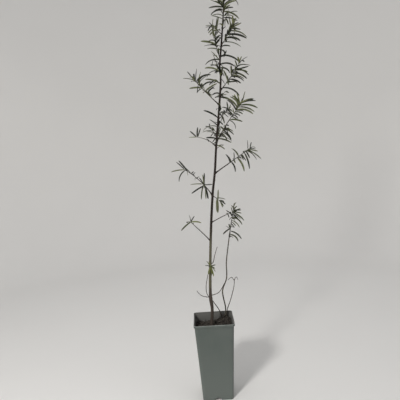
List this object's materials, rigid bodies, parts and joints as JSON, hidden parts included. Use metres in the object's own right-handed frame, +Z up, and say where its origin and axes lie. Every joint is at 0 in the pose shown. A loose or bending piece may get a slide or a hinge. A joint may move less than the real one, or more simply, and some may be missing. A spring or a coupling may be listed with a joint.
{
  "type": "potted sea buckthorn",
  "caption": "Young sea buckthorn shrub with narrow strap leaves on a slender leaning trunk, a sucker and dead twigs, in a deep square nursery pot filled with soil.",
  "frame": {"origin": "middle of the pot's flat underside, on the surface that the pot stands on", "axes": "+Z up the plant; +X towards the side that the trunk leans to; -Y towards the viewer of the picture"},
  "size_m": [0.2474, 0.1401, 1.1749],
  "materials": {
    "pot": "satin",
    "soil": "matte",
    "bark": "matte",
    "young_bark": "matte",
    "dead_wood": "matte",
    "foliage": "matte"
  },
  "bodies": {
    "root": {"bough_crown_back": "bark", "bough_crown_left": "bark", "bough_crown_right": "bark", "bough_front_low": "bark", "bough_front_middle": "bark", "bough_front_upper": "bark", "bough_long_left": "bark", "bough_long_right": "bark", "bough_low_left": "bark", "bough_low_right": "bark", "bough_mid_left": "bark", "bough_middle_back": "bark", "bough_spur_right": "bark", "bough_steep_right": "bark", "bough_upper_back": "bark", "bough_upper_left": "bark", "bough_upper_right": "bark", "dead_shoot_left": "dead_wood", "dead_stem_right": "dead_wood", "dry_twig_left": "dead_wood", "dry_twig_right": "dead_wood", "foliage_crown_back": "foliage", "foliage_crown_left": "foliage", "foliage_crown_right": "foliage", "foliage_front_low": "foliage", "foliage_front_middle": "foliage", "foliage_front_upper": "foliage", "foliage_leader": "foliage", "foliage_long_left": "foliage", "foliage_long_right": "foliage", "foliage_low_left": "foliage", "foliage_low_right": "foliage", "foliage_mid_left": "foliage", "foliage_middle_back": "foliage", "foliage_spur_right": "foliage", "foliage_steep_right": "foliage", "foliage_sucker": "foliage", "foliage_upper_back": "foliage", "foliage_upper_left": "foliage", "foliage_upper_right": "foliage", "pot": "pot", "soil": "soil", "spur_leaves_01": "foliage", "spur_leaves_02": "foliage", "spur_leaves_03": "foliage", "spur_leaves_04": "foliage", "spur_leaves_05": "foliage", "spur_leaves_06": "foliage", "spur_leaves_07": "foliage", "spur_leaves_08": "foliage", "spur_leaves_09": "foliage", "spur_leaves_10": "foliage", "spur_leaves_11": "foliage", "sucker_stem": "young_bark", "thorn": "dead_wood", "trunk": "bark"}
  },
  "joints": []
}
